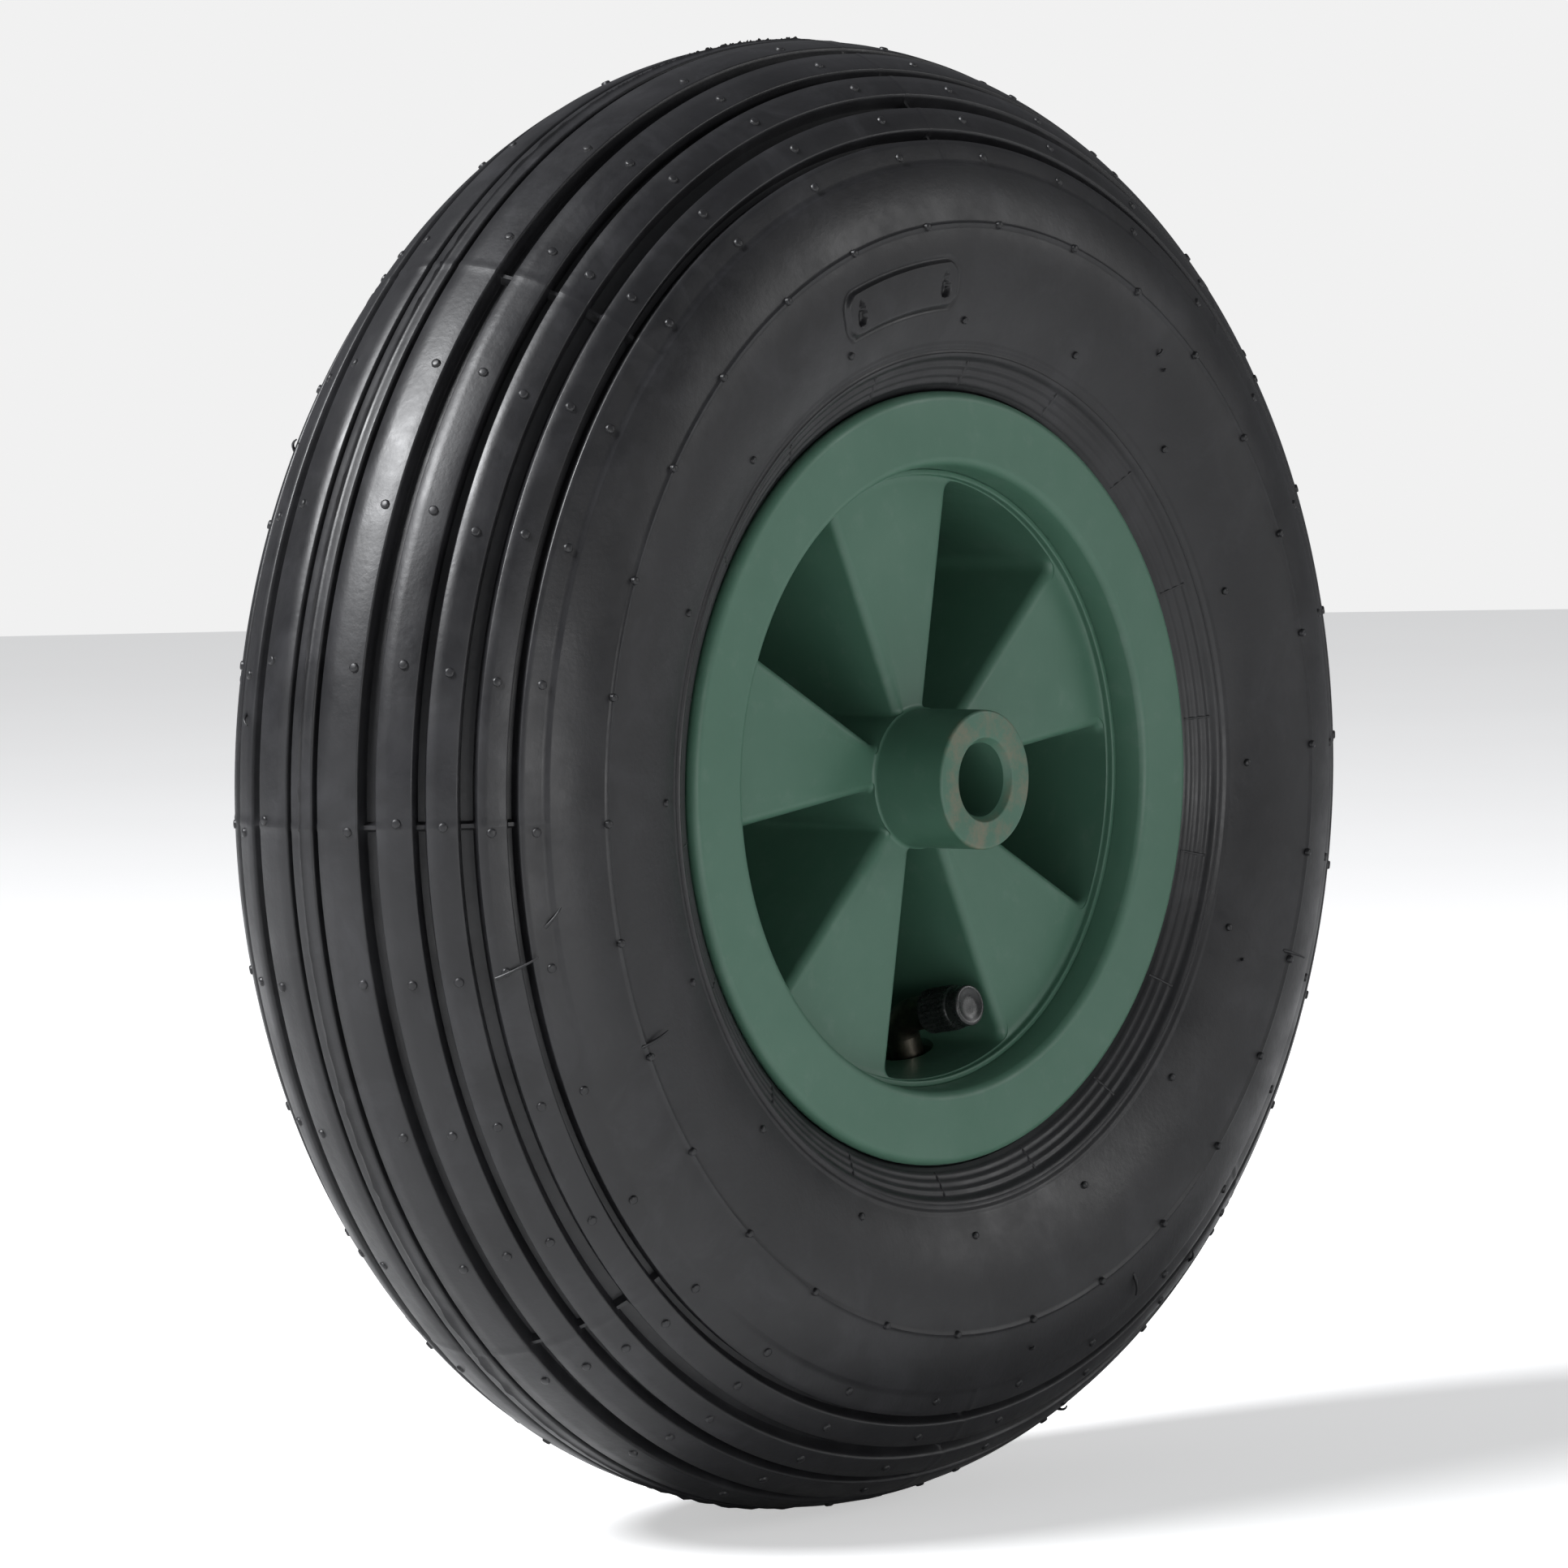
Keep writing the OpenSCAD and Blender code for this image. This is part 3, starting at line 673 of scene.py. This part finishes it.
def make_cap():
    """Screw cap: base ring, gripping ribs, a smooth ring and a shallow dished end, hollow over the stem."""
    base = -(CAP_L - WASHER_T - CAP_TOP_T)
    top = WASHER_T + CAP_TOP_T
    shoulder = top - CAP_TIP_EDGE_R - CAP_TIP_L
    outline = [(CAP_BORE_R + 0.35, base), (CAP_R - 0.2, base), (CAP_R, base + 0.2), (CAP_R, base + 0.8)]
    ribbed_from = len(outline)
    outline += [(CAP_R - 0.02, base + 1.05), (CAP_R, base + 1.5)]
    outline += [(CAP_R, shoulder - 1.2), (CAP_R - 0.1, shoulder - 0.6)]
    ribbed_to = len(outline)
    outline += [(CAP_R - 0.3, shoulder - 0.25), (CAP_TIP_R, shoulder)]
    outline += arc(CAP_TIP_R - CAP_TIP_EDGE_R, top - CAP_TIP_EDGE_R, CAP_TIP_EDGE_R, 0, 90, 5)
    outline += [(CAP_TIP_R - 1.0, top), (CAP_TIP_R - 1.5, top - 0.28), (1.8, top - 0.36), (0.5, top - 0.3)]
    inside = [(0.5, WASHER_T + 0.02), (CAP_BORE_R - 0.3, WASHER_T + 0.02), (CAP_BORE_R, WASHER_T - 0.2)]
    inside += [(CAP_BORE_R, base + 0.5)]
    columns = CAP_RIBS * 8
    points = []
    for i, (r, z) in enumerate(outline + inside):
        for j in range(columns):
            turn = 2 * math.pi * j / columns
            dip = 0.0
            if ribbed_from <= i < ribbed_to:
                strength = 1.0 if ribbed_from < i < ribbed_to - 1 else 0.35
                dip = CAP_RIB_DEEP * strength * (0.5 - 0.5 * math.cos(CAP_RIBS * turn)) ** 0.7
            points.append(((r - dip) * math.cos(turn), (r - dip) * math.sin(turn), z))
    rows = len(outline) + len(inside)
    end_ring = (len(outline) - 1) * columns
    faces = ring_faces(rows, columns)
    faces = faces[:end_ring] + faces[end_ring + columns:]
    faces.append(tuple(range(end_ring, end_ring + columns)))
    faces.append(tuple(range(end_ring + columns, end_ring + 2 * columns)))
    cap = plain_object("valve_cap_body", points, faces)
    turn = Vector((0, 0, 1)).rotation_difference(cap_axis).to_matrix().to_4x4()
    cap.data.transform(Matrix.Translation(cap_tip) @ turn)
    face_outwards(cap)
    smooth(cap, 35)
    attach(cap, "cap")
    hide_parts("valve_cap")
    return cap


# ---- Materials ----

class Nodes:
    """A material's node tree, with short calls for what the materials below share."""

    def __init__(self, name):
        self.material = bpy.data.materials.new(name)
        self.material.use_nodes = True
        self.tree = self.material.node_tree
        self.shader = self.tree.nodes["Principled BSDF"]
        self.place = self.tree.nodes.new("ShaderNodeTexCoord").outputs["Object"]

    def set(self, **values):
        """Constants on the shader's own sockets."""
        for key, value in values.items():
            self.shader.inputs[key.replace("_", " ")].default_value = value

    def noise(self, scale, detail=4.0, roughness=0.55, distortion=0.0):
        node = self.tree.nodes.new("ShaderNodeTexNoise")
        node.inputs["Scale"].default_value = scale
        node.inputs["Detail"].default_value = detail
        node.inputs["Roughness"].default_value = roughness
        node.inputs["Distortion"].default_value = distortion
        self.tree.links.new(self.place, node.inputs["Vector"])
        return node.outputs["Fac"]

    def stretched(self, scale, factors):
        """Noise drawn out along an axis, for brushed or swept marks."""
        mapping = self.tree.nodes.new("ShaderNodeMapping")
        mapping.inputs["Scale"].default_value = factors
        self.tree.links.new(self.place, mapping.inputs["Vector"])
        node = self.tree.nodes.new("ShaderNodeTexNoise")
        node.inputs["Scale"].default_value = scale
        node.inputs["Detail"].default_value = 3.0
        self.tree.links.new(mapping.outputs["Vector"], node.inputs["Vector"])
        return node.outputs["Fac"]

    def ramp(self, source, stops):
        """Colours at positions along a value."""
        node = self.tree.nodes.new("ShaderNodeValToRGB")
        elements = node.color_ramp.elements
        elements[0].position, elements[0].color = stops[0][0], (*stops[0][1], 1)
        elements[1].position, elements[1].color = stops[-1][0], (*stops[-1][1], 1)
        for position, colour in stops[1:-1]:
            elements.new(position).color = (*colour, 1)
        self.tree.links.new(source, node.inputs["Fac"])
        return node.outputs["Color"]

    def scaled(self, source, low, high, start, end):
        """The range from start to end of a value, spread from low to high."""
        node = self.tree.nodes.new("ShaderNodeMapRange")
        node.inputs["From Min"].default_value = start
        node.inputs["From Max"].default_value = end
        node.inputs["To Min"].default_value = low
        node.inputs["To Max"].default_value = high
        self.tree.links.new(source, node.inputs["Value"])
        return node.outputs["Result"]

    def mix(self, factor, first, second):
        """The first colour where the factor is 0, the second where it is 1."""
        node = self.tree.nodes.new("ShaderNodeMix")
        node.data_type = "RGBA"
        for socket, value in ((node.inputs[0], factor), (node.inputs[6], first), (node.inputs[7], second)):
            if isinstance(value, tuple):
                socket.default_value = (*value, 1)
            else:
                self.tree.links.new(value, socket)
        return node.outputs[2]

    def beyond(self, axis, low, high):
        """1 where the object coordinate's size on the axis is above high, 0 below low."""
        split = self.tree.nodes.new("ShaderNodeSeparateXYZ")
        self.tree.links.new(self.place, split.inputs["Vector"])
        size = self.tree.nodes.new("ShaderNodeMath")
        size.operation = "ABSOLUTE"
        self.tree.links.new(split.outputs[axis], size.inputs[0])
        return self.scaled(size.outputs[0], 0.0, 1.0, low, high)

    def times(self, first, second):
        """A value times another value or a number."""
        node = self.tree.nodes.new("ShaderNodeMath")
        node.operation = "MULTIPLY"
        self.tree.links.new(first, node.inputs[0])
        if isinstance(second, float):
            node.inputs[1].default_value = second
        else:
            self.tree.links.new(second, node.inputs[1])
        return node.outputs[0]

    def link(self, source, name):
        self.tree.links.new(source, self.shader.inputs[name])

    def bump(self, *layers):
        """Bumps of (height source, strength, depth in metres), one over the other."""
        last = None
        for source, strength, depth in layers:
            node = self.tree.nodes.new("ShaderNodeBump")
            node.inputs["Strength"].default_value = strength
            node.inputs["Distance"].default_value = depth
            self.tree.links.new(source, node.inputs["Height"])
            if last:
                self.tree.links.new(last, node.inputs["Normal"])
            last = node.outputs["Normal"]
        self.tree.links.new(last, self.shader.inputs["Normal"])


# Range of a noise that the ramps and roughness spread out
NOISE_LOW = 0.3
NOISE_HIGH = 0.7

RIM_GREENS = ((NOISE_LOW, (0.055, 0.135, 0.09)), (0.55, (0.063, 0.146, 0.1)),
              (0.75, (0.073, 0.158, 0.11)))
RIM_DUST = (0.12, 0.195, 0.155)
HUB_WEAR = (0.17, 0.15, 0.1)
HUB_END_FROM = 0.0485
HUB_END_TO = 0.0499
TYRE_DARK = (0.007, 0.007, 0.008)
TYRE_LIGHT = (0.014, 0.014, 0.0155)
TYRE_BLOOM = (0.035, 0.035, 0.039)


def rim_material():
    """Green moulded polypropylene, faintly mottled and dusty, with brown wear on the hub's ends."""
    m = Nodes("green_moulded_plastic")
    body = m.ramp(m.noise(38, 5), RIM_GREENS)
    dust = m.times(m.scaled(m.noise(150, 8, 0.7), 0.0, 1.0, 0.56, 0.75), 0.35)
    dusty = m.mix(dust, body, RIM_DUST)
    hub_end = m.beyond("Y", HUB_END_FROM, HUB_END_TO)
    worn = m.times(hub_end, m.scaled(m.noise(160, 6, 0.7), 0.0, 1.0, 0.45, 0.7))
    m.link(m.mix(worn, dusty, HUB_WEAR), "Base Color")
    m.link(m.scaled(m.noise(90, 6, 0.65), 0.36, 0.52, NOISE_LOW, NOISE_HIGH), "Roughness")
    m.set(Specular_IOR_Level=0.5)
    m.bump((m.noise(45, 3), 0.25, 0.0008), (m.noise(1400, 3), 0.12, 0.00012))
    return m.material


def tyre_material():
    """Black rubber with a waxy blue-grey bloom on the tread and a fine moulded grain."""
    m = Nodes("tyre_rubber_black")
    body = m.ramp(m.noise(30, 6, 0.6), ((NOISE_LOW, TYRE_DARK), (NOISE_HIGH, TYRE_LIGHT)))
    bloom = m.times(m.scaled(m.noise(55, 8, 0.7, 0.6), 0.0, 1.0, 0.5, 0.72), 0.4)
    m.link(m.mix(bloom, body, TYRE_BLOOM), "Base Color")
    m.link(m.scaled(m.noise(70, 7, 0.65), 0.34, 0.52, NOISE_LOW, NOISE_HIGH), "Roughness")
    m.set(Specular_IOR_Level=0.5)
    m.bump((m.noise(60, 4), 0.3, 0.0006), (m.noise(900, 4, 0.6), 0.25, 0.00018))
    return m.material


def rubber_material(name, dark, light, grain):
    """Smooth butyl or seal rubber."""
    m = Nodes(name)
    m.link(m.ramp(m.noise(grain, 5), ((NOISE_LOW, dark), (NOISE_HIGH, light))), "Base Color")
    m.link(m.scaled(m.noise(grain * 3, 5), 0.42, 0.62, NOISE_LOW, NOISE_HIGH), "Roughness")
    m.bump((m.noise(grain * 12, 3), 0.2, 0.0001))
    return m.material


def metal_material(name, dark, light, rough_low, rough_high, grain):
    """Turned or drawn metal with fine marks."""
    m = Nodes(name)
    m.link(m.ramp(m.noise(grain, 6, 0.65), ((NOISE_LOW, dark), (NOISE_HIGH, light))), "Base Color")
    m.set(Metallic=1.0)
    marks = m.stretched(grain * 2, (1, 14, 1))
    m.link(m.scaled(marks, rough_low, rough_high, NOISE_LOW, NOISE_HIGH), "Roughness")
    m.bump((m.stretched(grain * 4, (1, 20, 1)), 0.15, 0.00005))
    return m.material


def cap_material():
    """Black glossy moulded plastic, a little scuffed."""
    m = Nodes("cap_black_plastic")
    blacks = ((NOISE_LOW, (0.01, 0.011, 0.011)), (NOISE_HIGH, (0.022, 0.024, 0.023)))
    m.link(m.ramp(m.noise(300, 4), blacks), "Base Color")
    m.link(m.scaled(m.noise(700, 6), 0.2, 0.38, NOISE_LOW, NOISE_HIGH), "Roughness")
    m.set(Specular_IOR_Level=0.55)
    m.bump((m.noise(1500, 3), 0.1, 0.00005))
    return m.material


def seal_material():
    """White seal plastic of the valve core."""
    m = Nodes("white_seal_plastic")
    whites = ((NOISE_LOW, (0.62, 0.61, 0.58)), (NOISE_HIGH, (0.76, 0.75, 0.72)))
    m.link(m.ramp(m.noise(900, 4), whites), "Base Color")
    m.link(m.scaled(m.noise(1200, 4), 0.3, 0.5, NOISE_LOW, NOISE_HIGH), "Roughness")
    m.bump((m.noise(3000, 3), 0.15, 0.00003))
    return m.material


def dress(obj, material):
    """Gives an object one material in place of what it had."""
    obj.data.materials.clear()
    obj.data.materials.append(material)


# ---- Stage ----

FLOOR_RINGS = 40
FLOOR_SIDES = 96
FLOOR_R = 6000
FLOOR_SEEN = 0.5


def make_floor():
    """A wide flat pale floor under the tyre. To the camera it glows a little, so it stays pale far out."""
    floor_z = -TYRE_R
    points = [(0.0, 0.0, floor_z)]
    for i in range(1, FLOOR_RINGS + 1):
        radius = FLOOR_R * (i / FLOOR_RINGS) ** 1.5
        for j in range(FLOOR_SIDES):
            a = 2 * math.pi * j / FLOOR_SIDES
            points.append((radius * math.cos(a), radius * math.sin(a), floor_z))
    faces = [(0, 1 + (j + 1) % FLOOR_SIDES, 1 + j) for j in range(FLOOR_SIDES)]
    for i in range(FLOOR_RINGS - 1):
        for j in range(FLOOR_SIDES):
            a = 1 + i * FLOOR_SIDES + j
            b = 1 + i * FLOOR_SIDES + (j + 1) % FLOOR_SIDES
            faces.append((a, b, b + FLOOR_SIDES, a + FLOOR_SIDES))
    floor = plain_object("floor", points, faces)
    m = Nodes("pale_floor")
    pales = ((NOISE_LOW, (0.83, 0.83, 0.83)), (NOISE_HIGH, (0.86, 0.86, 0.86)))
    m.link(m.ramp(m.noise(3, 2), pales), "Base Color")
    m.set(Roughness=0.9, Specular_IOR_Level=0.1)
    tree = m.tree
    ray = tree.nodes.new("ShaderNodeLightPath")
    glow = tree.nodes.new("ShaderNodeEmission")
    tree.links.new(m.times(ray.outputs["Is Camera Ray"], FLOOR_SEEN), glow.inputs["Strength"])
    both = tree.nodes.new("ShaderNodeAddShader")
    tree.links.new(m.shader.outputs["BSDF"], both.inputs[0])
    tree.links.new(glow.outputs["Emission"], both.inputs[1])
    tree.links.new(both.outputs["Shader"], tree.nodes["Material Output"].inputs["Surface"])
    dress(floor, m.material)


def area_light(name, place, target, size, power, colour=(1, 1, 1)):
    """A round soft light at a place, turned towards a target, both in metres."""
    light = bpy.data.lights.new(name, "AREA")
    light.shape = "DISK"
    light.size = size
    light.energy = power
    light.color = colour
    lamp = bpy.data.objects.new(name, light)
    bpy.context.scene.collection.objects.link(lamp)
    lamp.location = place
    lamp.rotation_euler = (Vector(target) - Vector(place)).to_track_quat("-Z", "Y").to_euler()


def make_world(strength, seen):
    """A dim room for the light, and a plain pale backdrop where the camera looks past the floor."""
    world = bpy.data.worlds.new("soft_room")
    bpy.context.scene.world = world
    world.use_nodes = True
    tree = world.node_tree
    room = tree.nodes["Background"]
    room.inputs["Color"].default_value = (0.93, 0.95, 1.0, 1)
    room.inputs["Strength"].default_value = strength
    backdrop = tree.nodes.new("ShaderNodeBackground")
    backdrop.inputs["Color"].default_value = (1, 1, 1, 1)
    backdrop.inputs["Strength"].default_value = seen
    ray = tree.nodes.new("ShaderNodeLightPath")
    choice = tree.nodes.new("ShaderNodeMixShader")
    tree.links.new(ray.outputs["Is Camera Ray"], choice.inputs["Fac"])
    tree.links.new(room.outputs["Background"], choice.inputs[1])
    tree.links.new(backdrop.outputs["Background"], choice.inputs[2])
    tree.links.new(choice.outputs["Shader"], tree.nodes["World Output"].inputs["Surface"])
    bpy.context.scene.view_settings.view_transform = "Standard"


# The photograph's viewpoint: in front and to the left, just above the axle, with a long lens
CAMERA_PLACE = (-1250.4, -1069.0, 89.6)
CAMERA_TURN = -49.236
CAMERA_RISE = 3.186
CAMERA_ROLL = -1.0
CAMERA_LENS = 167.7


def make_camera():
    turn = math.radians(CAMERA_TURN)
    rise = math.radians(CAMERA_RISE)
    roll = math.radians(CAMERA_ROLL)
    back = Vector((math.sin(turn) * math.cos(rise), -math.cos(turn) * math.cos(rise), math.sin(rise)))
    right = Vector((0, 0, 1)).cross(back).normalized()
    up = back.cross(right)
    across = right * math.cos(roll) + up * math.sin(roll)
    upright = up * math.cos(roll) - right * math.sin(roll)
    camera = bpy.data.cameras.new("camera")
    camera.lens = CAMERA_LENS
    camera.sensor_width = 36
    camera.clip_end = 50
    holder = bpy.data.objects.new("camera", camera)
    bpy.context.scene.collection.objects.link(holder)
    axes = Matrix((across, upright, back)).transposed()
    holder.matrix_world = Matrix.Translation(Vector(CAMERA_PLACE) * MM) @ axes.to_4x4()
    bpy.context.scene.camera = holder


# ---- Everything together ----

make_camera()
make_world(strength=0.14, seen=0.88)
make_floor()
area_light("key", (-1.95, 0.7, 2.05), (0, 0, 0.02), 1.1, 150, (0.97, 0.98, 1.0))
area_light("front_low", (-0.7, -2.8, -0.08), (0, 0, -0.05), 1.0, 24)
area_light("front_right", (2.0, -2.0, 0.9), (0, 0, 0), 1.2, 12)

rim = make_rim()
dress(rim, rim_material())

rubber = tyre_material()
tyre = make_tyre()
dress(tyre, rubber)
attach(tyre, "wheel")
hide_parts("tyre")
for detail in (make_pips(), make_whiskers(), make_marks()):
    smooth(detail, 60)
    dress(detail, rubber)
    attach(detail, "wheel")

dress(make_cap(), cap_material())

nodes = frame["nodes"]
brass = metal_material("core_brass", (0.55, 0.36, 0.13), (0.72, 0.5, 0.2), 0.18, 0.34, 900)
finishes = {
    "inner_tube": rubber_material("butyl_tube", (0.02, 0.02, 0.021), (0.036, 0.036, 0.038), 60),
    "valve_patch": rubber_material("patch_rubber", (0.015, 0.015, 0.016), (0.03, 0.03, 0.032), 140),
    "cap_washer": rubber_material("washer_rubber", (0.05, 0.05, 0.05), (0.09, 0.09, 0.09), 900),
    "core_gasket": rubber_material("gasket_rubber", (0.012, 0.012, 0.012), (0.03, 0.03, 0.03), 1200),
    "core_seal": seal_material(),
    "bead_wire_front": metal_material("bead_steel", (0.3, 0.26, 0.2), (0.48, 0.42, 0.33), 0.3, 0.5, 160),
    "valve_stem": metal_material("stem_dark_brass", (0.1, 0.095, 0.08), (0.2, 0.18, 0.14), 0.3, 0.5, 420),
    "core_spring": metal_material("spring_steel", (0.5, 0.5, 0.52), (0.68, 0.68, 0.7), 0.2, 0.35, 1500)}
finishes["bead_wire_rear"] = finishes["bead_wire_front"]
for name in ("core_plug", "core_barrel", "core_pin", "core_cup"):
    finishes[name] = brass
for name, material in finishes.items():
    dress(nodes[name], material)
